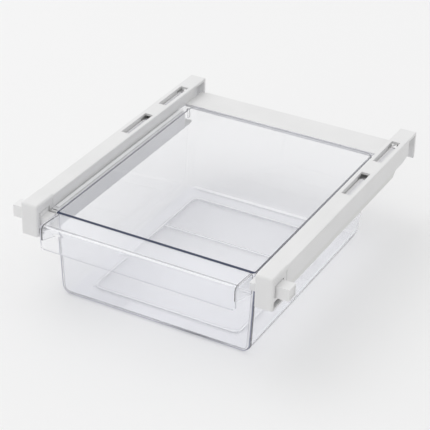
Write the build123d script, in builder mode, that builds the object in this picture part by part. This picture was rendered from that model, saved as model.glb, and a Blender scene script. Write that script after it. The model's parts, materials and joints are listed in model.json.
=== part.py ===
"""Pull-out drawer that hangs under a refrigerator shelf.

Two white rails carry a clear drawer.  Each rail is a casing with a runner channel set into it,
a front cap with a sliding bar through it, and two shelf clips under the slots in its top.
A cross bar joins the rails at the rear.

Frame: X across (0 in the middle), Y from front (-) to rear (+), Z up, millimetres.
The origin is the bottom centre of the whole object.
"""
import os

from build123d import *

# ---- driving dimensions ---------------------------------------------------------------------
rail_span = 250.0          # across both rails, outside to outside
rail_width = 17.0
rail_top = 94.8            # top of the rails above the drawer's underside
rail_end = 305.4           # rear end of the rails, behind the caps' front face
lip_reach = 12.0           # handle lip in front of the caps' front face

# rail casing
rail_plate = 2.5           # thickness of the top plate
rail_wall = 2.0
rail_inner_wall = 1.8
outer_wall_height = 19.6   # outer wall, from the rail's top down
inner_wall_height = 13.3
lip_thick = 1.8            # lip at the foot of the outer wall that carries the runner
ledge = 1.0                # ribs along both walls that carry the shelf clips
ledge_drop = 6.1           # top of those ribs below the rail's top
outer_notch = 17.4         # rear notches: where the walls stop in front of the rail's end
inner_notch = 24.4
wall_rise_length = 15.0    # over this length the outer wall's foot rises towards its end
wall_rise = 2.3
end_plate = 2.8            # plate turned down at the rear end
end_plate_height = 26.8
web_thick = 1.8            # web between the two rear notches
web_height = 20.0
rail_edge_round = 0.9

# slots in the rail tops, and the clips under them
slot_width = 8.6
slot_length = 45.5
slot_from_end = 28.6       # rear end of the last slot in front of the rail's end
slot_pitch = 70.1
slot_count = 2
slot_inset = 4.6           # slot to the rail's outer side
skirt_thick = 1.2          # skirts along the slot's long sides
skirt_height = 2.9
skirt_short = 9.0          # length of slot left without skirts at its rear end
clip_floor_drop = 4.7      # floor of the slot below the rail's top
clip_thick = 1.2
clip_width = 7.6
clip_short = 5.0           # open length at the slot's rear end
clip_pad = 8.0             # length of the clip's seat in front of the slot
ridge_width = 0.6
ridge_height = 0.5
ridge_gap = 3.0            # between the centres of the two ridges

# runner channel
runner_depth = 30.8        # underside of the runner below the rail's top
runner_plate = 2.0
runner_wall = 1.8
runner_set_in = 4.0        # outer face of the runner inside the rail's outer side
leg_reach = 6.5            # inner leg inside the rail's inner side
leg_short = 14.0           # leg's rear end in front of the drawer's rear rim
seat_thick = 1.5           # seat on top of the leg that the drawer's flange slides on
runner_front_gap = 2.6     # runner's front end behind the bar
runner_from_end = 26.4     # top of the slanted rear end in front of the rail's end
runner_slant = 16.0
runner_hook = 1.7          # ledge that hangs on the lip of the casing
front_plate = 1.6          # plate that closes the channel's front end
front_plate_reach = 1.2    # front plate inside the leg
front_plate_round = 3.0

# front caps
cap_length = 27.0
cap_over_top = 0.8
cap_over_side = 0.6
cap_wall = 1.8
cap_round = 2.2
cap_panel = 0.45           # depth of the sunk panel on the side faces
cap_border = 1.4           # border left round that panel
spigot_length = 12.0       # tongue of the cap inside the rail
spigot_drop = 8.5          # underside of the tongue below the rail's top
window_low = 2.0           # lower window above the cap's underside
window_height = 5.6
window_front = 3.0
window_length = 15.0

# sliding bars
bar_front = 5.6
bar_depth = 12.4
bar_height = 11.6
bar_drop = 8.2             # top of the bar below the rail's top
bar_reach = 13.0           # outer end beyond the rail's outer side
bar_tip_gap = 0.4          # inner end beside the drawer's wall
bar_step_gap = 0.3         # full height starts this far inside the cap
bar_round = 0.8
bar_recess = 1.0           # sunk outer end
bar_rim = 1.3
collar_thick = 1.7
collar_over = 3.4          # collar beyond the bar, front and rear
bar_hole_margin = 1.2      # hole in the cap around the bar, front and below
bar_hole_rear = 3.0        # the same behind the bar
guide_thick = 1.3

# clear drawer
drawer_front = 18.4
drawer_rear_gap = 1.0      # rim in front of the cross bar
drawer_rear_draft = 14.0   # how far the rear wall leans in towards the foot
drawer_wall = 1.8
drawer_floor = 2.0
drawer_side_gap = 1.5      # drawer's wall beside the runner's leg
side_draft = 3.4           # how far each side leans in towards the foot
front_round = 3.2          # edges of the front wall
rear_round = 8.0           # edges of the rear wall
side_foot_round = 8.4      # long edges between sides and floor
flange_drop = 11.2         # top of the flange below the rail's top
flange_thick = 1.1
flange_front_gap = 3.6     # flange's front end behind the drawer's front
flange_rear_gap = 1.0      # flange's rear end in front of the rear rim
flange_front_round = 2.0
flange_rear_round = 7.5
rim_over = 0.6             # bead round the mouth
stop_from_rear = 10.0      # front face of the stop fins in front of the rear rim
stop_length = 3.0
stop_height = 8.2          # fins, from the flange down

# handle at the front of the drawer
handle_gap = 3.4           # handle's ends beside the bars' inner ends
handle_wall = 2.0
handle_rise = 2.4          # top of the handle above the drawer's rim, at the lip
lip_height = 23.6          # lip, from the handle's top down
lip_bend = 5.0
lip_corner = 3.0
gusset_thick = 1.6
gusset_front_height = 13.0
gusset_rear_height = 20.0

# ribs on the drawer's floor
rib_side_gap = 20.6        # ribs inside the foot of the side, front and rear walls
rib_front_gap = 19.6
rib_rear_gap = 22.0
rib_width = 2.6
rib_height = 0.7
rib_corner = 8.0
rib_rows = 3               # panels between the ribs, front to rear

# rear cross bar
cross_from_end = 8.0       # rear edge in front of the rails' ends
cross_length = 32.4        # front to rear
cross_drop = 11.3          # top of the bar below the rail's top
cross_plate = 2.0
cross_skirt = 1.6
cross_height = 4.0
cross_end_step = 0.7       # the ends lie this much lower
cross_end_length = 6.0
tab_length = 11.0          # front to rear
tab_thick = 1.6
tab_reach = 4.0
tab_hook = 2.6
tab_hook_thick = 1.4

# clearances
slide_gap = 0.3            # between sliding faces
flange_side_gap = 0.4      # flange beside the rail's inner side
fit_gap = 0.3              # between fixed pieces that plug together

# ---- places worked out from them ------------------------------------------------------------
front = -(rail_end - lip_reach) / 2       # y of the caps' front face
rail_out = rail_span / 2
rail_in = rail_out - rail_width
plate_under = rail_top - rail_plate
rail_foot = rail_top - outer_wall_height
casing_in = rail_in + rail_inner_wall
casing_out = rail_out - rail_wall
ledge_top = rail_top - ledge_drop

slot_out = rail_out - slot_inset
slot_in = slot_out - slot_width
slot_mid = (slot_in + slot_out) / 2

flange_top = rail_top - flange_drop
flange_under = flange_top - flange_thick
flange_edge = rail_in - flange_side_gap
outer_wall_end = rail_end - outer_notch
inner_wall_end = rail_end - inner_notch
cross_far = rail_end - cross_from_end
cross_near = cross_far - cross_length
drawer_rear_top = cross_near - drawer_rear_gap
drawer_rear_foot = drawer_rear_top - drawer_rear_draft
flange_front = drawer_front + flange_front_gap
flange_rear = drawer_rear_top - flange_rear_gap
stop_front = drawer_rear_top - stop_from_rear
runner_front = bar_front + bar_depth + runner_front_gap
leg_end = drawer_rear_top - leg_short
runner_end_high = rail_end - runner_from_end
runner_end_low = runner_end_high - runner_slant
runner_base = rail_top - runner_depth
runner_out = rail_out - runner_set_in
leg_in = rail_in - leg_reach
leg_top = flange_under - slide_gap
hook_under = rail_foot + lip_thick
drawer_half = leg_in - drawer_side_gap

bar_top = rail_top - bar_drop
bar_base = bar_top - bar_height
tongue_top = flange_under - slide_gap
bar_in = drawer_half + bar_tip_gap
bar_out = rail_out + bar_reach
handle_half = bar_in - handle_gap
cap_out = rail_out + cap_over_side
cap_top = rail_top + cap_over_top
cap_base = runner_base
stop_base = flange_under - stop_height


def span(low, high):
    """Middle and length of a range."""
    return (low + high) / 2, high - low


def block(side, x, y, z, mode=Mode.ADD):
    """Box over ranges of distance from the middle, depth behind the caps' front, and height."""
    x_mid, x_size = span(*x)
    y_mid, y_size = span(*y)
    z_mid, z_size = span(*z)
    with Locations((side * x_mid, front + y_mid, z_mid)):
        Box(x_size, y_size, z_size, mode=mode)


def profile(side, points, y):
    """Prism along Y of an outline given as distance from the middle and height."""
    with BuildSketch(Plane.XZ.offset(-(front + y[0]))) as outline:
        with BuildLine():
            Polyline([(side * px, pz) for px, pz in points], close=True)
        make_face()
    extrude(outline.sketch, amount=-(y[1] - y[0]))


def wedge(side, points, x, mode=Mode.ADD):
    """Prism along X of an outline given as depth behind the caps' front and height."""
    with BuildSketch(Plane.YZ.offset(side * x[0])) as outline:
        with BuildLine():
            Polyline([(front + py, pz) for py, pz in points], close=True)
        make_face()
    extrude(outline.sketch, amount=side * (x[1] - x[0]), mode=mode)


def write(piece, label):
    """Label one piece and write its STEP file."""
    piece.part.label = label
    export_step(piece.part, f"parts/{label}.step")


def slot_starts():
    """Front end of each slot in a rail."""
    last = rail_end - slot_from_end - slot_length
    return [last - number * slot_pitch for number in reversed(range(slot_count))]


# ---- pieces ---------------------------------------------------------------------------------
def make_rail(side):
    """Casing: top plate, two walls, the lip for the runner, slots, and the notched rear end."""
    with BuildPart() as rail:
        rib_under = ledge_top - ledge
        profile(side, [
            (rail_in, rail_top),
            (rail_out, rail_top),
            (rail_out, rail_foot),
            (runner_out + fit_gap, rail_foot),
            (runner_out + fit_gap, hook_under),
            (casing_out, hook_under),
            (casing_out, rib_under),
            (casing_out - ledge, rib_under),
            (casing_out - ledge, ledge_top),
            (casing_out, ledge_top),
            (casing_out, plate_under),
            (casing_in, plate_under),
            (casing_in, ledge_top),
            (casing_in + ledge, ledge_top),
            (casing_in + ledge, rib_under),
            (casing_in, rib_under),
            (casing_in, rail_top - inner_wall_height),
            (rail_in, rail_top - inner_wall_height),
        ], (cap_length, outer_wall_end))
        block(side, (rail_in, casing_in + ledge), (inner_wall_end, outer_wall_end),
              (rail_top - inner_wall_height, plate_under), mode=Mode.SUBTRACT)
        wedge(side, [
            (outer_wall_end - wall_rise_length, rail_foot),
            (outer_wall_end, rail_foot + wall_rise),
            (outer_wall_end, rail_foot),
        ], (runner_out + fit_gap, rail_out), mode=Mode.SUBTRACT)
        block(side, (rail_in, rail_out), (outer_wall_end, rail_end), (plate_under, rail_top))
        block(side, (rail_in, rail_out), (rail_end - end_plate, rail_end),
              (rail_top - end_plate_height, plate_under))
        block(side, (slot_mid - web_thick / 2, slot_mid + web_thick / 2),
              (inner_wall_end, rail_end - end_plate), (rail_top - web_height, plate_under))
        for start in slot_starts():
            block(side, (slot_in, slot_out), (start, start + slot_length),
                  (plate_under, rail_top), mode=Mode.SUBTRACT)
            skirt_y = (start, start + slot_length - skirt_short)
            skirt_z = (plate_under - skirt_height, plate_under)
            block(side, (slot_in - skirt_thick, slot_in), skirt_y, skirt_z)
            block(side, (slot_out, slot_out + skirt_thick), skirt_y, skirt_z)
        long_edges = rail.edges().filter_by(Axis.Y).group_by(Axis.Z)[-1]
        outer_edges = [edge for edge in long_edges
                       if abs(edge.center().X) > rail_out - rail_edge_round / 2
                       or abs(edge.center().X) < rail_in + rail_edge_round / 2]
        fillet(outer_edges, radius=rail_edge_round)
    return rail


def make_clip(side, start):
    """Shelf clip: a seat under the top plate and a ridged tongue that floors the slot."""
    with BuildPart() as clip:
        floor_top = rail_top - clip_floor_drop
        block(side, (casing_in + fit_gap, casing_out - fit_gap), (start - clip_pad, start),
              (ledge_top, plate_under))
        block(side, (slot_mid - clip_width / 2, slot_mid + clip_width / 2),
              (start, start + slot_length - clip_short), (floor_top - clip_thick, floor_top))
        for ridge in (-ridge_gap / 2, ridge_gap / 2):
            middle = slot_mid + ridge
            block(side, (middle - ridge_width / 2, middle + ridge_width / 2),
                  (start, start + slot_length - clip_short), (floor_top, floor_top + ridge_height))
    return clip


def make_runner(side):
    """Channel under the casing; the seat on its inner leg carries the drawer's flange."""
    with BuildPart() as runner:
        hook_top = hook_under + runner_wall
        profile(side, [
            (rail_in, runner_base),
            (runner_out, runner_base),
            (runner_out, hook_under),
            (runner_out + runner_hook, hook_under),
            (runner_out + runner_hook, hook_top),
            (runner_out - runner_wall, hook_top),
            (runner_out - runner_wall, runner_base + runner_plate),
            (rail_in, runner_base + runner_plate),
        ], (cap_length, runner_end_high))
        inner_edge = rail_in - fit_gap
        block(side, (leg_in, rail_in), (cap_length, runner_end_high),
              (runner_base, runner_base + runner_plate))
        block(side, (leg_in, inner_edge), (runner_front, cap_length),
              (runner_base, runner_base + runner_plate))
        block(side, (leg_in, leg_in + runner_wall), (runner_front, leg_end),
              (runner_base, leg_top))
        block(side, (leg_in, inner_edge), (runner_front, leg_end),
              (leg_top - seat_thick, leg_top))
        block(side, (leg_in - front_plate_reach, inner_edge),
              (runner_front, runner_front + front_plate), (runner_base, stop_base - slide_gap))
        wedge(side, [
            (runner_end_low, runner_base),
            (runner_end_high, hook_top),
            (runner_end_high, runner_base),
        ], (leg_in, runner_out + runner_hook), mode=Mode.SUBTRACT)
        corner = runner.edges().filter_by(Axis.Y).group_by(Axis.Z)[0].sort_by(Axis.X)
        fillet(corner[0 if side > 0 else -1], radius=front_plate_round)
    return runner


def make_cap(side):
    """Hollow front cap with a hole for the bar, a window under it, and a tongue for the rail."""
    with BuildPart() as cap:
        block(side, (rail_in, cap_out), (0, cap_length), (cap_base, cap_top))
        upright = cap.edges().filter_by(Axis.Z).group_by(Axis.Y)[0]
        crown = cap.edges().group_by(Axis.Z)[-1].filter_by(Axis.Y)
        brow = cap.edges().group_by(Axis.Z)[-1].filter_by(Axis.X).group_by(Axis.Y)[0]
        fillet(upright + crown + brow, radius=cap_round)
        panel_y = (cap_border, cap_length - cap_border)
        panel_z = (cap_base + cap_border, cap_top - cap_round - cap_border)
        block(side, (rail_in, rail_in + cap_panel), panel_y, panel_z, mode=Mode.SUBTRACT)
        block(side, (cap_out - cap_panel, cap_out), panel_y, panel_z, mode=Mode.SUBTRACT)
        inside_x = (rail_in + cap_wall, cap_out - cap_wall)
        inside_y = (cap_wall, cap_length - cap_wall)
        block(side, inside_x, inside_y, (cap_base + cap_wall, cap_top - cap_wall),
              mode=Mode.SUBTRACT)
        guide_top = bar_top + slide_gap
        guide_base = bar_base - slide_gap
        block(side, inside_x, inside_y, (guide_top, guide_top + guide_thick))
        block(side, inside_x, inside_y, (guide_base - guide_thick, guide_base))
        block(side, (rail_in, cap_out),
              (bar_front - bar_hole_margin, bar_front + bar_depth + bar_hole_rear),
              (guide_base, guide_top), mode=Mode.SUBTRACT)
        block(side, (rail_in, cap_out), (window_front, window_front + window_length),
              (cap_base + window_low, cap_base + window_low + window_height),
              mode=Mode.SUBTRACT)
        block(side, (casing_in + ledge + fit_gap, casing_out - ledge - fit_gap),
              (cap_length, cap_length + spigot_length),
              (rail_top - spigot_drop, plate_under))
    return cap


def make_bar(side):
    """Sliding bar through the cap: low tongue under the flange, collar, and sunk outer end."""
    with BuildPart() as bar:
        bar_y = (bar_front, bar_front + bar_depth)
        bar_z = (bar_base, bar_top)
        block(side, (bar_in, bar_out), bar_y, bar_z)
        ends = bar.faces().sort_by(Axis.X)
        fillet(ends[0].edges() + ends[-1].edges(), radius=bar_round)
        block(side, (bar_in, rail_in + bar_step_gap), bar_y, (tongue_top, bar_top),
              mode=Mode.SUBTRACT)
        collar_x = rail_in + cap_wall + slide_gap
        block(side, (collar_x, collar_x + collar_thick),
              (bar_front - collar_over, bar_front + bar_depth + collar_over), bar_z)
        block(side, (bar_out - bar_recess, bar_out),
              (bar_front + bar_rim, bar_front + bar_depth - bar_rim),
              (bar_base + bar_rim, bar_top - bar_rim), mode=Mode.SUBTRACT)
    return bar


def tray_half(height):
    """Half of the drawer's width at one height."""
    return drawer_half - side_draft * (1 - height / flange_top)


def tray_outline(height, inset, front_corner=0, rear_corner=0):
    """Drawer's outline at one height, moved in by inset, with its corners rounded if asked."""
    half = tray_half(height) - inset
    front_y = front + drawer_front + inset
    rear_y = front + drawer_rear_top - drawer_rear_draft * (1 - height / flange_top) - inset
    with BuildSketch(Plane.XY.offset(height)) as outline:
        with BuildLine():
            FilletPolyline(
                (half, front_y),
                (half, rear_y),
                (-half, rear_y),
                (-half, front_y),
                radius=[front_corner, rear_corner, rear_corner, front_corner],
                close=True,
            )
        make_face()
    return outline.sketch


def make_tray_solid(low, high, inset):
    """Tapered solid between two heights of the drawer's outline, rounded all but at its mouth."""
    with BuildPart() as solid:
        loft([tray_outline(low, inset), tray_outline(high, inset)])
        feet = solid.edges().filter_by(Axis.Y).group_by(Axis.Z)[0]
        fillet(feet, radius=side_foot_round - inset)
        for end, radius in ((0, front_round), (-1, rear_round)):
            wall = solid.faces().sort_by(Axis.Y)[end]
            mouth = wall.edges().sort_by(Axis.Z)[-1]
            fillet([edge for edge in wall.edges() if edge != mouth], radius=radius - inset)
    return solid


def flange_plate():
    """Flange along both sides, and the bead round the drawer's mouth."""
    with BuildSketch(Plane.XY.offset(flange_under)) as plan:
        with BuildLine():
            FilletPolyline(
                (flange_edge, front + flange_front),
                (flange_edge, front + flange_rear),
                (-flange_edge, front + flange_rear),
                (-flange_edge, front + flange_front),
                radius=[flange_front_round, flange_rear_round, flange_rear_round,
                        flange_front_round],
                close=True,
            )
        make_face()
    extrude(plan.sketch, amount=flange_thick)
    with BuildSketch(Plane.XY.offset(flange_under)) as bead:
        add(tray_outline(flange_top, -rim_over, front_round, rear_round)
            .moved(Location((0, 0, -flange_top))))
    extrude(bead.sketch, amount=flange_thick)


def handle():
    """Ledge in front of the drawer, bent down into a lip, with a gusset at each end."""
    inner_y = drawer_front + drawer_wall
    top_front = flange_top + handle_rise
    slope = handle_rise / (inner_y + lip_reach)
    back_y = -lip_reach + handle_wall
    under_front = top_front - slope * handle_wall - handle_wall
    under_rear = flange_top + slope * drawer_wall - handle_wall
    lip_foot = top_front - lip_height
    with BuildSketch(Plane.YZ) as section:
        with BuildLine():
            FilletPolyline(
                (front + inner_y, flange_top),
                (front - lip_reach, top_front),
                (front - lip_reach, lip_foot),
                radius=lip_bend,
            )
            Line((front - lip_reach, lip_foot), (front + back_y, lip_foot))
            FilletPolyline(
                (front + back_y, lip_foot),
                (front + back_y, under_front),
                (front + drawer_front, under_rear),
                radius=lip_bend - handle_wall,
            )
            Line((front + drawer_front, under_rear), (front + inner_y, under_rear))
            Line((front + inner_y, under_rear), (front + inner_y, flange_top))
        make_face()
    extrude(section.sketch, amount=handle_half, both=True)
    for side in (-1, 1):
        wedge(side, [
            (back_y, under_front),
            (back_y, under_front - gusset_front_height),
            (drawer_front + drawer_wall / 2, under_rear - gusset_rear_height),
            (drawer_front + drawer_wall / 2, under_rear),
        ], (handle_half - gusset_thick, handle_half))


def floor_ribs():
    """Low ribs on the drawer's floor: a border and the cross ribs between its panels."""
    rib_half = tray_half(0) - rib_side_gap
    rib_front = drawer_front + rib_front_gap
    middle, length = span(rib_front, drawer_rear_foot - rib_rear_gap)
    with BuildSketch(Plane.XY.offset(drawer_floor)) as ribs:
        with Locations((0, front + middle)):
            RectangleRounded(2 * rib_half, length, rib_corner)
            RectangleRounded(2 * (rib_half - rib_width), length - 2 * rib_width,
                             rib_corner - rib_width, mode=Mode.SUBTRACT)
        for row in range(1, rib_rows):
            with Locations((0, front + rib_front + length * row / rib_rows)):
                Rectangle(2 * (rib_half - rib_width / 2), rib_width)
    extrude(ribs.sketch, amount=rib_height)


def make_drawer():
    """Clear drawer, one moulding with its flanges, handle, stop fins and floor ribs."""
    outside = make_tray_solid(0, flange_top, 0)
    inside = make_tray_solid(drawer_floor, flange_top + 2 * flange_thick, drawer_wall)
    with BuildPart() as drawer:
        add(outside.part)
        flange_plate()
        handle()
        for side in (-1, 1):
            block(side, (tray_half(0), leg_in - slide_gap),
                  (stop_front, stop_front + stop_length), (stop_base, flange_under))
        add(inside.part, mode=Mode.SUBTRACT)
        floor_ribs()
        low_corners = [edge for edge in drawer.edges().filter_by(Axis.Y)
                       if edge.center().Y < front
                       and abs(abs(edge.center().X) - handle_half) < handle_wall / 2
                       and edge.center().Z < flange_top - lip_height / 2]
        fillet(low_corners, radius=lip_corner)
    return drawer


def make_cross_bar():
    """Plate with skirts behind the drawer; its end tabs hook up inside the rails."""
    near = cross_near
    far = cross_far
    top = rail_top - cross_drop
    base = top - cross_height
    with BuildPart() as cross_bar:
        for side in (-1, 1):
            block(side, (0, rail_in), (near, far), (top - cross_plate, top))
            block(side, (0, rail_in), (near, near + cross_skirt), (base, top))
            block(side, (0, rail_in), (far - cross_skirt, far), (base, top))
            block(side, (rail_in - cross_end_length, rail_in), (near, far),
                  (top - cross_end_step, top), mode=Mode.SUBTRACT)
            tab_y = (near + cross_skirt, near + cross_skirt + tab_length)
            tab_top = rail_top - inner_wall_height - slide_gap
            tab_x = rail_in + tab_reach
            block(side, (rail_in - cross_end_length, tab_x), tab_y, (tab_top - tab_thick, tab_top))
            block(side, (tab_x - tab_hook_thick, tab_x), tab_y, (tab_top, tab_top + tab_hook))
    return cross_bar


os.makedirs("parts", exist_ok=True)
for name, side in (("left", -1), ("right", 1)):
    write(make_rail(side), f"{name}_rail")
    write(make_runner(side), f"{name}_runner")
    write(make_cap(side), f"{name}_front_cap")
    write(make_bar(side), f"{name}_lock_bar")
    for place, start in zip(("front", "rear"), slot_starts()):
        write(make_clip(side, start), f"{name}_{place}_shelf_clip")
write(make_cross_bar(), "rear_cross_bar")
write(make_drawer(), "drawer")
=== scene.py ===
"""Looks for the clear pull-out drawer that hangs between two white rails."""
import json
import math

import bpy
from mathutils import Matrix, Vector


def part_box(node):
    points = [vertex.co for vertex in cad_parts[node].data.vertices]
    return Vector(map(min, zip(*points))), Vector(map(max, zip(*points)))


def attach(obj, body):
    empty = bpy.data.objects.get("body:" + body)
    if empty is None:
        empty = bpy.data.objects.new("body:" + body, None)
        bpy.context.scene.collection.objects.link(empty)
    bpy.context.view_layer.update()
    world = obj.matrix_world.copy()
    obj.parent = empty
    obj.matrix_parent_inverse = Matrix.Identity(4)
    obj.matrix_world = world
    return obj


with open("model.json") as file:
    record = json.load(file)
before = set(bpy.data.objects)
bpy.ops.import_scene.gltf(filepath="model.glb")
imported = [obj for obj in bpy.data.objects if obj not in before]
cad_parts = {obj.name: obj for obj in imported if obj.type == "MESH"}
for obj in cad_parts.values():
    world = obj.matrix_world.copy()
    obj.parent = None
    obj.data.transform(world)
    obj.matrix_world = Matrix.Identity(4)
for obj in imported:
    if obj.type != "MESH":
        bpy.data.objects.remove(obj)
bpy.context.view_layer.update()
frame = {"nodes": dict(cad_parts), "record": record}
MM = 0.001

# ---- places taken from the frame, and the drawer's sizes --------------------------------------
CAP_FRONT_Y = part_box("right_front_cap")[0][1]
CROSS_NEAR_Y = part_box("rear_cross_bar")[0][1]
RAIL_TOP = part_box("right_rail")[1][2]
MOUTH_Z = RAIL_TOP - 11.2 * MM         # top of the drawer's flange and mouth
MOUTH_HALF = 100.0 * MM
MOUTH_FRONT = CAP_FRONT_Y + 18.4 * MM
MOUTH_REAR = CROSS_NEAR_Y - 1.0 * MM
SIDE_DRAFT = 3.4 * MM                  # how far each side leans in towards the foot
REAR_DRAFT = 14.0 * MM
WALL = 1.8 * MM
FRONT_ROUND = 3.2 * MM
REAR_ROUND = 8.0 * MM
FOOT_ROUND = 8.4 * MM
FLOOR = 2.0 * MM
RIB_HALF = 76.0 * MM                   # outside of the ribs' border on the floor
RIB_WIDTH = 2.6 * MM
RIB_FRONT = MOUTH_FRONT + 19.6 * MM
RIB_REAR = MOUTH_REAR - REAR_DRAFT - 22.0 * MM
RIB_ROWS = 3
RIB_CORNER = 8.0 * MM
PANEL_LOW = (-RIB_HALF, RIB_FRONT, -1 * MM)
PANEL_HIGH = (RIB_HALF, RIB_REAR, 2.4 * MM)
HANDLE_HALF = 97.0 * MM
LIP_FRONT = CAP_FRONT_Y - 12.0 * MM
LIP_TOP = MOUTH_Z + 2.4 * MM
LIP_FOOT = LIP_TOP - 23.6 * MM
HANDLE_WALL = 2.0 * MM
LIP_BEND = 5.0 * MM                    # outside round between the ledge and the lip
LEDGE_SLOPE = (LIP_TOP - MOUTH_Z) / (MOUTH_FRONT + WALL - LIP_FRONT)
MOUTH_LINE_SIDE = (0.75 * MM, 1.12 * MM)   # outer and inner edge of the painted mouth reflection, from the rim
MOUTH_LINE_FRONT = (-2.6 * MM, 0.7 * MM)   # further forward and back of them in front
MOUTH_LINE_THICK = 0.06 * MM
FLANGE_MIDDLE = MOUTH_HALF + 4.6 * MM
RAIL_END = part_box("right_rail")[1][1]
SLOT_REAR = RAIL_END - 28.6 * MM       # rear end of the last slot
SLOT_OPEN = 5.4 * MM                   # slot's rear part that has no ridges
SLOT_PITCH = 70.1 * MM
SLOT_LENGTH = 45.5 * MM
SLOT_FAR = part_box("right_rail")[1][0] - 4.6 * MM
SLOT_NEAR = SLOT_FAR - 8.6 * MM
RIDGE_COUNT = 3
RIDGE_FIRST = 4.4 * MM                 # first ridge from the slot's side
RIDGE_PITCH = 1.3 * MM


# ---- materials -------------------------------------------------------------------------------
def new_material(name):
    """Empty node material with its shader and output."""
    mat = bpy.data.materials.new(name)
    mat.use_nodes = True
    nodes = mat.node_tree.nodes
    nodes.clear()
    out = nodes.new("ShaderNodeOutputMaterial")
    shader = nodes.new("ShaderNodeBsdfPrincipled")
    mat.node_tree.links.new(shader.outputs[0], out.inputs["Surface"])
    return mat, nodes, mat.node_tree.links, shader


def moulded_plastic(name, light, dark, roughness, grain=0.02):
    """Satin moulded plastic: faint mottling of its colour and gloss, and a fine spark texture."""
    mat, nodes, links, shader = new_material(name)
    coords = nodes.new("ShaderNodeTexCoord")
    cloud = nodes.new("ShaderNodeTexNoise")
    cloud.inputs["Scale"].default_value = 28
    cloud.inputs["Detail"].default_value = 3
    links.new(coords.outputs["Object"], cloud.inputs["Vector"])
    tone = nodes.new("ShaderNodeValToRGB")
    tone.color_ramp.elements[0].position = 0.3
    tone.color_ramp.elements[0].color = (*dark, 1)
    tone.color_ramp.elements[1].position = 0.7
    tone.color_ramp.elements[1].color = (*light, 1)
    links.new(cloud.outputs["Fac"], tone.inputs["Fac"])
    links.new(tone.outputs["Color"], shader.inputs["Base Color"])
    gloss = nodes.new("ShaderNodeMapRange")
    gloss.inputs["To Min"].default_value = roughness - 0.06
    gloss.inputs["To Max"].default_value = roughness + 0.06
    links.new(cloud.outputs["Fac"], gloss.inputs["Value"])
    links.new(gloss.outputs["Result"], shader.inputs["Roughness"])
    spark = nodes.new("ShaderNodeTexNoise")
    spark.inputs["Scale"].default_value = 2600
    spark.inputs["Detail"].default_value = 2
    links.new(coords.outputs["Object"], spark.inputs["Vector"])
    bump = nodes.new("ShaderNodeBump")
    bump.inputs["Strength"].default_value = grain
    bump.inputs["Distance"].default_value = 0.0002
    links.new(spark.outputs["Fac"], bump.inputs["Height"])
    links.new(bump.outputs["Normal"], shader.inputs["Normal"])
    shader.inputs["Specular IOR Level"].default_value = 0.35
    return mat


def within_box(nodes, links, place, low, high):
    """1 inside an axis-aligned box of object coordinates, 0 outside it."""
    parts = nodes.new("ShaderNodeSeparateXYZ")
    links.new(place, parts.inputs["Vector"])
    inside = None
    for axis, least, most in zip("XYZ", low, high):
        near = nodes.new("ShaderNodeMath")
        near.operation = "COMPARE"
        near.inputs[1].default_value = (least + most) / 2
        near.inputs[2].default_value = (most - least) / 2
        links.new(parts.outputs[axis], near.inputs[0])
        if inside is None:
            inside = near.outputs[0]
            continue
        both = nodes.new("ShaderNodeMath")
        both.operation = "MULTIPLY"
        links.new(inside, both.inputs[0])
        links.new(near.outputs[0], both.inputs[1])
        inside = both.outputs[0]
    return inside


def let_light_through(nodes, links, shader, tint):
    """Swap the shader for a plain tint on rays that only carry light, so the inside is lit."""
    path = nodes.new("ShaderNodeLightPath")
    either = nodes.new("ShaderNodeMath")
    either.operation = "MAXIMUM"
    links.new(path.outputs["Is Shadow Ray"], either.inputs[0])
    links.new(path.outputs["Is Diffuse Ray"], either.inputs[1])
    plain = nodes.new("ShaderNodeBsdfTransparent")
    plain.inputs["Color"].default_value = (*tint, 1)
    mix = nodes.new("ShaderNodeMixShader")
    links.new(either.outputs[0], mix.inputs["Fac"])
    links.new(shader.outputs[0], mix.inputs[1])
    links.new(plain.outputs[0], mix.inputs[2])
    links.new(mix.outputs[0], nodes["Material Output"].inputs["Surface"])


def clear_plastic(name):
    """Clear polystyrene: refracting, faintly blue in its depth, with a trace of ripple."""
    mat, nodes, links, shader = new_material(name)
    shader.inputs["Transmission Weight"].default_value = 0.95
    shader.inputs["IOR"].default_value = 1.49
    shader.inputs["Base Color"].default_value = (0.99, 0.992, 1.0, 1)
    coords = nodes.new("ShaderNodeTexCoord")
    haze = nodes.new("ShaderNodeTexNoise")
    haze.inputs["Scale"].default_value = 9
    haze.inputs["Detail"].default_value = 4
    links.new(coords.outputs["Object"], haze.inputs["Vector"])
    gloss = nodes.new("ShaderNodeMapRange")
    gloss.inputs["To Min"].default_value = 0.0
    gloss.inputs["To Max"].default_value = 0.03
    links.new(haze.outputs["Fac"], gloss.inputs["Value"])
    panel = within_box(nodes, links, coords.outputs["Object"], PANEL_LOW, PANEL_HIGH)
    frost = nodes.new("ShaderNodeMath")
    frost.operation = "MULTIPLY_ADD"
    frost.inputs[1].default_value = 0.28
    links.new(panel, frost.inputs[0])
    links.new(gloss.outputs["Result"], frost.inputs[2])
    links.new(frost.outputs[0], shader.inputs["Roughness"])
    ripple = nodes.new("ShaderNodeTexNoise")
    ripple.inputs["Scale"].default_value = 14
    ripple.inputs["Detail"].default_value = 1
    links.new(coords.outputs["Object"], ripple.inputs["Vector"])
    bump = nodes.new("ShaderNodeBump")
    bump.inputs["Strength"].default_value = 0.05
    bump.inputs["Distance"].default_value = 0.001
    links.new(ripple.outputs["Fac"], bump.inputs["Height"])
    links.new(bump.outputs["Normal"], shader.inputs["Normal"])
    let_light_through(nodes, links, shader, (0.975, 0.976, 0.985))
    depth = nodes.new("ShaderNodeVolumeAbsorption")
    depth.inputs["Color"].default_value = (0.34, 0.40, 0.72, 1)
    depth.inputs["Density"].default_value = 6
    links.new(depth.outputs["Volume"], nodes["Material Output"].inputs["Volume"])
    return mat


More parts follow.
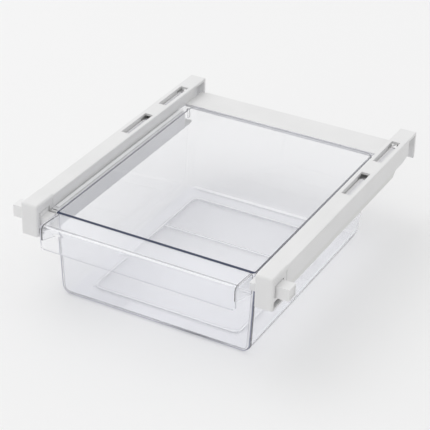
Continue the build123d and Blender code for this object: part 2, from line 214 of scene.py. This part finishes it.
def painted_edge_reflection(name):
    """Painted reflection on the edge of thick clear plastic, where light gathers: dark blue-grey in
    front and paler behind.
    """
    mat, nodes, links, shader = new_material(name)
    coords = nodes.new("ShaderNodeTexCoord")
    place = nodes.new("ShaderNodeSeparateXYZ")
    links.new(coords.outputs["Object"], place.inputs["Vector"])
    run = nodes.new("ShaderNodeMapRange")
    run.inputs["From Min"].default_value = MOUTH_FRONT
    run.inputs["From Max"].default_value = MOUTH_REAR
    links.new(place.outputs["Y"], run.inputs["Value"])
    tone = nodes.new("ShaderNodeValToRGB")
    tone.color_ramp.elements[0].color = (0.045, 0.055, 0.095, 1)
    tone.color_ramp.elements[1].color = (0.62, 0.62, 0.69, 1)
    near = tone.color_ramp.elements.new(0.04)
    near.color = (0.17, 0.18, 0.26, 1)
    middle = tone.color_ramp.elements.new(0.45)
    middle.color = (0.42, 0.42, 0.50, 1)
    links.new(run.outputs["Result"], tone.inputs["Fac"])
    cloud = nodes.new("ShaderNodeTexNoise")
    cloud.inputs["Scale"].default_value = 40
    links.new(coords.outputs["Object"], cloud.inputs["Vector"])
    gloss = nodes.new("ShaderNodeMapRange")
    gloss.inputs["To Min"].default_value = 0.3
    gloss.inputs["To Max"].default_value = 0.45
    links.new(cloud.outputs["Fac"], gloss.inputs["Value"])
    links.new(gloss.outputs["Result"], shader.inputs["Roughness"])
    links.new(tone.outputs["Color"], shader.inputs["Base Color"])
    shader.inputs["Specular IOR Level"].default_value = 0.1
    return mat


def painted_rim_reflection(name):
    """Painted reflection inside the front wall's edge: pale violet-grey, and darker at the right
    corner.
    """
    mat, nodes, links, shader = new_material(name)
    coords = nodes.new("ShaderNodeTexCoord")
    place = nodes.new("ShaderNodeSeparateXYZ")
    links.new(coords.outputs["Object"], place.inputs["Vector"])
    run = nodes.new("ShaderNodeMapRange")
    run.inputs["From Min"].default_value = -MOUTH_HALF
    run.inputs["From Max"].default_value = MOUTH_HALF
    links.new(place.outputs["X"], run.inputs["Value"])
    tone = nodes.new("ShaderNodeValToRGB")
    tone.color_ramp.elements[0].color = (0.56, 0.56, 0.63, 1)
    tone.color_ramp.elements[1].color = (0.16, 0.175, 0.25, 1)
    middle = tone.color_ramp.elements.new(0.93)
    middle.color = (0.52, 0.52, 0.61, 1)
    links.new(run.outputs["Result"], tone.inputs["Fac"])
    links.new(tone.outputs["Color"], shader.inputs["Base Color"])
    shader.inputs["Roughness"].default_value = 0.4
    shader.inputs["Specular IOR Level"].default_value = 0.1
    return mat


WHITE = moulded_plastic("white_plastic", (0.80, 0.80, 0.80), (0.77, 0.77, 0.77), 0.42)
LIGHT = moulded_plastic("light_plastic", (0.83, 0.83, 0.83), (0.81, 0.81, 0.81), 0.38)
GREY = moulded_plastic("grey_plastic", (0.78, 0.78, 0.77), (0.75, 0.75, 0.74), 0.45)
CLEAR = clear_plastic("clear_plastic")
MOUTH_REFLECTION = painted_edge_reflection("painted_edge_reflection")
RIM_REFLECTION = painted_rim_reflection("painted_rim_reflection")
# Painted light and shade: grey and pale lines that stand in for the clear plastic's refraction shade
# and highlights, and for the slots' shade.
PAINTED_GREY = moulded_plastic("painted_grey_line", (0.66, 0.66, 0.69), (0.60, 0.60, 0.64), 0.4)
RIDGE_SHADE = moulded_plastic("painted_ridge_shade", (0.60, 0.60, 0.65), (0.54, 0.54, 0.60), 0.4)
FAINT_SHADE = moulded_plastic("painted_faint_shade", (0.74, 0.74, 0.78), (0.68, 0.68, 0.73), 0.4)
GLINT = moulded_plastic("glint", (0.99, 0.99, 1.0), (0.96, 0.96, 0.97), 0.3)
SHADE = moulded_plastic("slot_shade", (0.26, 0.25, 0.22), (0.20, 0.19, 0.17), 0.5)
HIGHLIGHT = moulded_plastic("painted_highlight", (0.93, 0.93, 0.94), (0.89, 0.89, 0.90), 0.4)
FINISH = {"white_plastic": WHITE, "light_plastic": LIGHT, "grey_plastic": GREY,
          "clear_plastic": CLEAR}


def dress_frame():
    """Give every piece of the frame the finish of its slot."""
    slots = {part["node"]: part["material_slot"] for part in frame["record"]["subparts"]}
    for node, obj in frame["nodes"].items():
        obj.data.materials.clear()
        obj.data.materials.append(FINISH[slots[node]])


# ---- the drawer's edges ----------------------------------------------------------------------
def new_piece(name, verts, faces, material, body, smooth=False):
    """Mesh piece of one material that moves with a body."""
    mesh = bpy.data.meshes.new(name)
    mesh.from_pydata([tuple(v) for v in verts], [], faces)
    mesh.materials.append(material)
    mesh.validate()
    if smooth:
        mesh.shade_smooth()
    piece = bpy.data.objects.new(name, mesh)
    bpy.context.collection.objects.link(piece)
    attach(piece, body)
    return piece


def rounded_corner(centre_x, centre_y, radius, start, steps=8):
    """Quarter turn of plan points about a corner's centre, from a start angle, counter-clockwise."""
    return [(centre_x + radius * math.cos(start + math.pi / 2 * step / steps),
             centre_y + radius * math.sin(start + math.pi / 2 * step / steps))
            for step in range(steps + 1)]


def mouth_loop(inset, front_extra=0.0):
    """Plan points of the mouth's outline, moved in by inset (and more in front)."""
    half = MOUTH_HALF - inset
    front_y = MOUTH_FRONT + inset + front_extra
    rear_y = MOUTH_REAR - inset
    front_r = max(FRONT_ROUND - inset, 0.8 * MM)
    rear_r = REAR_ROUND - inset
    return (rounded_corner(half - rear_r, rear_y - rear_r, rear_r, 0)
            + rounded_corner(-half + rear_r, rear_y - rear_r, rear_r, math.pi / 2)
            + rounded_corner(-half + front_r, front_y + front_r, front_r, math.pi)
            + rounded_corner(half - front_r, front_y + front_r, front_r, 1.5 * math.pi))


def add_mouth_line():
    """Painted dark reflection where the eye looks down through the edge of the mouth: wide in front.
    """
    outer = mouth_loop(MOUTH_LINE_SIDE[0], MOUTH_LINE_FRONT[0])
    inner = mouth_loop(MOUTH_LINE_SIDE[1], MOUTH_LINE_FRONT[1])
    low, high = MOUTH_Z, MOUTH_Z + MOUTH_LINE_THICK
    count = len(outer)
    verts = [(x, y, z + LEDGE_SLOPE * max(0, MOUTH_FRONT + WALL - y))
             for z in (low, high) for loop in (outer, inner) for x, y in loop]
    faces = []
    for i in range(count):
        j = (i + 1) % count
        low_out, low_in, top_out, top_in = 0, count, 2 * count, 3 * count
        faces.append((top_out + i, top_out + j, top_in + j, top_in + i))
        faces.append((low_out + j, low_out + i, low_in + i, low_in + j))
        faces.append((low_out + i, low_out + j, top_out + j, top_out + i))
        faces.append((top_in + i, top_in + j, low_in + j, low_in + i))
    new_piece("drawer_mouth_reflection", verts, faces, MOUTH_REFLECTION, "drawer")


def add_band(name, path, across, material, body="drawer", closed=False):
    """Thin flat band along a path of points; across gives its half width and thickness there."""
    verts, faces = [], []
    for point, (side, depth) in zip(path, across):
        point, side, depth = Vector(point), Vector(side), Vector(depth)
        verts += [point + side + depth, point - side + depth,
                  point - side - depth, point + side - depth]
    count = len(path)
    for i in range(count if closed else count - 1):
        j = (i + 1) % count
        for k in range(4):
            m = (k + 1) % 4
            faces.append((4 * i + k, 4 * i + m, 4 * j + m, 4 * j + k))
    if not closed:
        faces.append((3, 2, 1, 0))
        last = 4 * (count - 1)
        faces.append((last, last + 1, last + 2, last + 3))
    piece = new_piece(name, verts, faces, material, body)
    return piece


def half_at(height):
    """Half of the drawer's width at one height."""
    return MOUTH_HALF - SIDE_DRAFT * (1 - height / MOUTH_Z)


def front_edge_path(inset):
    """Down the front's left edge, along its foot and up its right edge, inside the plastic."""
    y = MOUTH_FRONT + 1.0 * MM
    foot = inset
    turn = FOOT_ROUND - inset
    centre_x = half_at(0) - FOOT_ROUND
    centre_z = FOOT_ROUND
    top = MOUTH_Z - 3 * MM
    right = [(half_at(top) - inset, y, top), (half_at(top / 2) - inset, y, top / 2)]
    for step in range(9):
        angle = math.pi / 2 * step / 8
        right.append((centre_x + turn * math.cos(angle), y, centre_z - turn * math.sin(angle)))
    right.append((0.0, y, foot))
    return [(-x, py, z) for x, py, z in right[:-1]] + right[::-1]


def add_front_edge(name, inset, beside, below, material):
    """Painted line of light and shade that the front wall's edge gathers, inside the plastic, in the
    given material: its half width at the sides and along the foot."""
    path = front_edge_path(inset)
    upright, lying = Vector((beside, 0, 0)), Vector((0, 0, below))
    across = []
    for x, y, z in path:
        share = min(1, max(0, (z - 0.8 * MM) / (FOOT_ROUND - 0.8 * MM)))
        across.append((upright * share + lying * (1 - share) * (-1 if x > 0 else 1),
                       (0, 0.3 * MM, 0)))
    add_band(name, path, across, material)


def handle_section():
    """Middle line of the handle's section as depth and height, with its outward direction."""
    tilt = math.atan(LEDGE_SLOPE)
    centre_y = LIP_FRONT + LIP_BEND
    centre_z = LIP_TOP - LEDGE_SLOPE * LIP_BEND - LIP_BEND / math.cos(tilt)
    start = math.pi / 2 - tilt
    points = []
    for step in range(9):
        angle = start + (math.pi - start) * step / 8
        out = Vector((0, math.cos(angle), math.sin(angle)))
        reach = LIP_BEND - HANDLE_WALL / 2
        points.append((centre_y + reach * out.y, centre_z + reach * out.z, out))
    up = points[0][2]
    ledge_end = (MOUTH_FRONT, MOUTH_Z + LEDGE_SLOPE * WALL - HANDLE_WALL / 2, up)
    foot = (LIP_FRONT + HANDLE_WALL / 2, LIP_FOOT + 3.0 * MM, Vector((0, -1, 0)))
    return [ledge_end, *points, foot]


def add_handle_ends():
    """Thin sheet just inside each end of the handle: painted highlight along the ledge, painted grey
    shade on the lip.
    """
    for label, side in (("left", -1), ("right", 1)):
        x = side * (HANDLE_HALF - 0.18 * MM)
        section = handle_section()
        reach = HANDLE_WALL / 2 - 0.12 * MM
        for part, run, material in (("ledge", section[:2], HIGHLIGHT), ("lip", section[2:], FAINT_SHADE)):
            path = [(x, y, z) for y, z, out in run]
            across = [(out * reach * side, (0.08 * MM, 0, 0)) for y, z, out in run]
            add_band(f"drawer_handle_{label}_{part}_end", path, across, material)


def add_lip_line():
    """Painted pale grey shade line along the lip's foot, just inside the plastic."""
    y = LIP_FRONT + HANDLE_WALL / 2
    z = LIP_FOOT + 0.12 * MM
    path = [(side * (HANDLE_HALF - 3.5 * MM), y, z) for side in (-1, 1)]
    across = [((0, HANDLE_WALL / 2 - 0.15 * MM, 0), (0, 0, 0.05 * MM))] * 2
    add_band("drawer_lip_line", path, across, PAINTED_GREY)


def add_glints():
    """Pale bands where the light gathers: the handle's bend, the flanges and the rear foot."""
    y, z, out = handle_section()[4]
    path = [(side * (HANDLE_HALF - 5 * MM), y, z) for side in (-1, 1)]
    along = Vector((0, out.z, -out.y))
    add_band("drawer_handle_glint", path, [(along * 0.55 * MM, out * 0.1 * MM)] * 2, GLINT)
    for label, side in (("left", -1), ("right", 1)):
        x = side * FLANGE_MIDDLE
        path = [(x, MOUTH_FRONT + 9 * MM, MOUTH_Z), (x, MOUTH_REAR - 12 * MM, MOUTH_Z)]
        across = [((1.7 * MM * side, 0, 0), (0, 0, 0.05 * MM))] * 2
        add_band(f"drawer_{label}_flange_glint", path, across, HIGHLIGHT)
    turn = REAR_ROUND - WALL
    tilt = math.radians(30)
    y = MOUTH_REAR - REAR_DRAFT - WALL - turn + (turn - 0.1 * MM) * math.sin(tilt)
    z = FLOOR + turn - (turn - 0.1 * MM) * math.cos(tilt)
    along = Vector((0, math.cos(tilt), math.sin(tilt)))
    off = Vector((0, -math.sin(tilt), math.cos(tilt)))
    path = [(side * (half_at(0) - FOOT_ROUND - 2 * MM), y, z) for side in (-1, 1)]
    add_band("drawer_rear_foot_glint", path, [(along * 1.3 * MM, off * 0.06 * MM)] * 2, GLINT)


def rib_loop(inset):
    """Rounded rectangle of the ribs' border, moved in by inset."""
    half = RIB_HALF - inset
    front_y, rear_y = RIB_FRONT + inset, RIB_REAR - inset
    turn = RIB_CORNER - inset
    return (rounded_corner(half - turn, rear_y - turn, turn, 0)
            + rounded_corner(-half + turn, rear_y - turn, turn, math.pi / 2)
            + rounded_corner(-half + turn, front_y + turn, turn, math.pi)
            + rounded_corner(half - turn, front_y + turn, turn, 1.5 * math.pi))


def add_rib_lines():
    """Fine painted highlight and painted grey shade lines along the two edges of each floor rib."""
    z = FLOOR + 0.72 * MM
    for label, inset, width, material in (("outer", 0.1 * MM, 0.22 * MM, PAINTED_GREY),
                                          ("middle", 0.8 * MM, 1.0 * MM, GLINT),
                                          ("inner", 2.3 * MM, 0.22 * MM, PAINTED_GREY)):
        path = [(x, y, z) for x, y in rib_loop(inset)]
        wide = [(x, y, z) for x, y in rib_loop(inset + width)]
        across = [((Vector(a) - Vector(b)) / 2, (0, 0, 0.02 * MM)) for a, b in zip(path, wide)]
        add_band(f"drawer_rib_{label}_line", path, across, material, closed=True)
    side_mid, side_half = FLOOR + 0.36 * MM, Vector((0, 0, 0.31 * MM))
    edge = rib_loop(RIB_WIDTH + 0.03 * MM)
    ahead = rib_loop(RIB_WIDTH + 0.09 * MM)
    path = [(x, y, side_mid) for x, y in edge]
    across = [(side_half, (Vector((*a, 0)) - Vector((*b, 0))) / 2) for a, b in zip(ahead, edge)]
    add_band("drawer_rib_inner_side", path, across, HIGHLIGHT, closed=True)
    for row in range(1, RIB_ROWS):
        middle = RIB_FRONT + (RIB_REAR - RIB_FRONT) * row / RIB_ROWS
        path = [(side * (RIB_HALF - RIB_WIDTH - 0.3 * MM), middle - RIB_WIDTH / 2 - 0.06 * MM,
                 side_mid) for side in (-1, 1)]
        add_band(f"drawer_rib_{row}_front_side", path, [(side_half, (0, 0.03 * MM, 0))] * 2, HIGHLIGHT)
        for label, shift, width, material in (("front", -RIB_WIDTH / 2, 0.22 * MM, FAINT_SHADE),
                                              ("middle", 0.0, 0.7 * MM, GLINT),
                                              ("rear", RIB_WIDTH / 2, 0.22 * MM, FAINT_SHADE)):
            path = [(side * (RIB_HALF - RIB_WIDTH), middle + shift, z) for side in (-1, 1)]
            across = [((0, width / 2, 0), (0, 0, 0.02 * MM))] * 2
            add_band(f"drawer_rib_{row}_{label}_line", path, across, material)


# ---- the rails' slots ------------------------------------------------------------------------
def add_slot_marks():
    """Painted shade below the open rear end of each slot, and painted shade lines for the fine
    ridges on its floor.
    """
    half = (SLOT_FAR - SLOT_NEAR) / 2 - 0.9 * MM
    for side, label in ((-1, "left"), (1, "right")):
        near, far = side * SLOT_NEAR, side * SLOT_FAR
        for row, rear in (("rear", SLOT_REAR), ("front", SLOT_REAR - SLOT_PITCH)):
            clip_low, clip_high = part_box(f"{label}_{row}_shelf_clip")
            under, top = clip_low[2] - 0.5 * MM, clip_high[2] + 0.03 * MM
            path = [((near + far) / 2, rear - 7 * MM, under),
                    ((near + far) / 2, rear - 0.3 * MM, under)]
            shade = add_band(f"{label}_{row}_slot_shade", path,
                             [((side * half, 0, 0), (0, 0, 0.15 * MM))] * 2, SHADE, "frame")
            for ridge in range(RIDGE_COUNT):
                x = min(near, far) + RIDGE_FIRST + RIDGE_PITCH * ridge
                path = [(x, rear - SLOT_LENGTH + 0.6 * MM, top), (x, rear - SLOT_OPEN, top)]
                line = add_band(f"{label}_{row}_slot_ridge_{ridge + 1}", path,
                                [((0.16 * MM, 0, 0), (0, 0, 0.03 * MM))] * 2, RIDGE_SHADE, "frame")


# ---- surroundings ----------------------------------------------------------------------------
CAMERA_PLACE = (0.5957, -1.1299, 0.7999)
CAMERA_AZIMUTH = math.radians(28.14)
CAMERA_ELEVATION = math.radians(30.58)
CAMERA_ROLL = math.radians(1.25)
CAMERA_LENS = 132.5
SENSOR = 36.0
SKY_TOWARD = (-0.85, 0.12, 0.51)       # side of the surround that is brightest
SKY_DIM = 0.50
SKY_BRIGHT = 1.09


def add_camera():
    """Camera at the photograph's place and angle."""
    back = Vector((math.sin(CAMERA_AZIMUTH) * math.cos(CAMERA_ELEVATION),
                   -math.cos(CAMERA_AZIMUTH) * math.cos(CAMERA_ELEVATION),
                   math.sin(CAMERA_ELEVATION)))
    right = Vector((math.cos(CAMERA_AZIMUTH), math.sin(CAMERA_AZIMUTH), 0))
    up = back.cross(right)
    across = right * math.cos(CAMERA_ROLL) + up * math.sin(CAMERA_ROLL)
    upright = up * math.cos(CAMERA_ROLL) - right * math.sin(CAMERA_ROLL)
    data = bpy.data.cameras.new("camera")
    data.lens = CAMERA_LENS
    data.sensor_width = SENSOR
    camera = bpy.data.objects.new("camera", data)
    bpy.context.collection.objects.link(camera)
    turn = Matrix((across, upright, back)).transposed().to_4x4()
    camera.matrix_world = Matrix.Translation(CAMERA_PLACE) @ turn
    bpy.context.scene.camera = camera


def add_floor():
    """Pale floor that runs out of sight."""
    mesh = bpy.data.meshes.new("floor")
    half = 6.0
    mesh.from_pydata([(-half, -half, 0), (half, -half, 0), (half, half, 0), (-half, half, 0)],
                     [], [(0, 1, 2, 3)])
    floor = bpy.data.objects.new("floor", mesh)
    bpy.context.collection.objects.link(floor)
    floor.location.z = -0.0002
    mat, nodes, links, shader = new_material("floor")
    shader.inputs["Roughness"].default_value = 0.9
    shader.inputs["Specular IOR Level"].default_value = 0.1
    coords = nodes.new("ShaderNodeTexCoord")
    cloud = nodes.new("ShaderNodeTexNoise")
    cloud.inputs["Scale"].default_value = 1.5
    links.new(coords.outputs["Object"], cloud.inputs["Vector"])
    tone = nodes.new("ShaderNodeValToRGB")
    tone.color_ramp.elements[0].color = (0.885, 0.885, 0.885, 1)
    tone.color_ramp.elements[1].color = (0.905, 0.905, 0.905, 1)
    links.new(cloud.outputs["Fac"], tone.inputs["Fac"])
    links.new(tone.outputs["Color"], shader.inputs["Base Color"])
    mesh.materials.append(mat)


def add_lamp(name, place, target, size, power):
    """Square soft lamp aimed at a point."""
    data = bpy.data.lights.new(name, "AREA")
    data.size = size
    data.energy = power
    lamp = bpy.data.objects.new(name, data)
    bpy.context.collection.objects.link(lamp)
    lamp.location = place
    aim = Vector(target) - Vector(place)
    lamp.rotation_euler = aim.to_track_quat("-Z", "Y").to_euler()


def add_light():
    """Soft light from the upper left, and an even pale surround."""
    add_lamp("key", (-2.0, 0.5, 3.9), (0, 0, 0.04), 3.4, 28)
    world = bpy.data.worlds.new("surround")
    bpy.context.scene.world = world
    world.use_nodes = True
    nodes, links = world.node_tree.nodes, world.node_tree.links
    background = nodes["Background"]
    background.inputs["Color"].default_value = (1, 1, 1, 1)
    coords = nodes.new("ShaderNodeTexCoord")
    toward = nodes.new("ShaderNodeVectorMath")
    toward.operation = "DOT_PRODUCT"
    toward.inputs[1].default_value = SKY_TOWARD
    links.new(coords.outputs["Generated"], toward.inputs[0])
    level = nodes.new("ShaderNodeMapRange")
    level.inputs["From Min"].default_value = -1
    level.inputs["To Min"].default_value = SKY_DIM
    level.inputs["To Max"].default_value = SKY_BRIGHT
    links.new(toward.outputs["Value"], level.inputs["Value"])
    links.new(level.outputs["Result"], background.inputs["Strength"])


dress_frame()
add_mouth_line()
# painted dark reflection, painted highlight and painted grey shade along the front wall's edge
add_front_edge("drawer_front_edge", 0.7 * MM, 0.42 * MM, 0.24 * MM, RIM_REFLECTION)
add_front_edge("drawer_front_glint", 1.9 * MM, 0.30 * MM, 0.45 * MM, HIGHLIGHT)
add_front_edge("drawer_front_inner_edge", 3.0 * MM, 0.20 * MM, 0.10 * MM, PAINTED_GREY)
add_handle_ends()
add_lip_line()
add_rib_lines()
add_glints()
add_slot_marks()
add_camera()
add_floor()
add_light()
bpy.context.scene.view_settings.view_transform = "Standard"
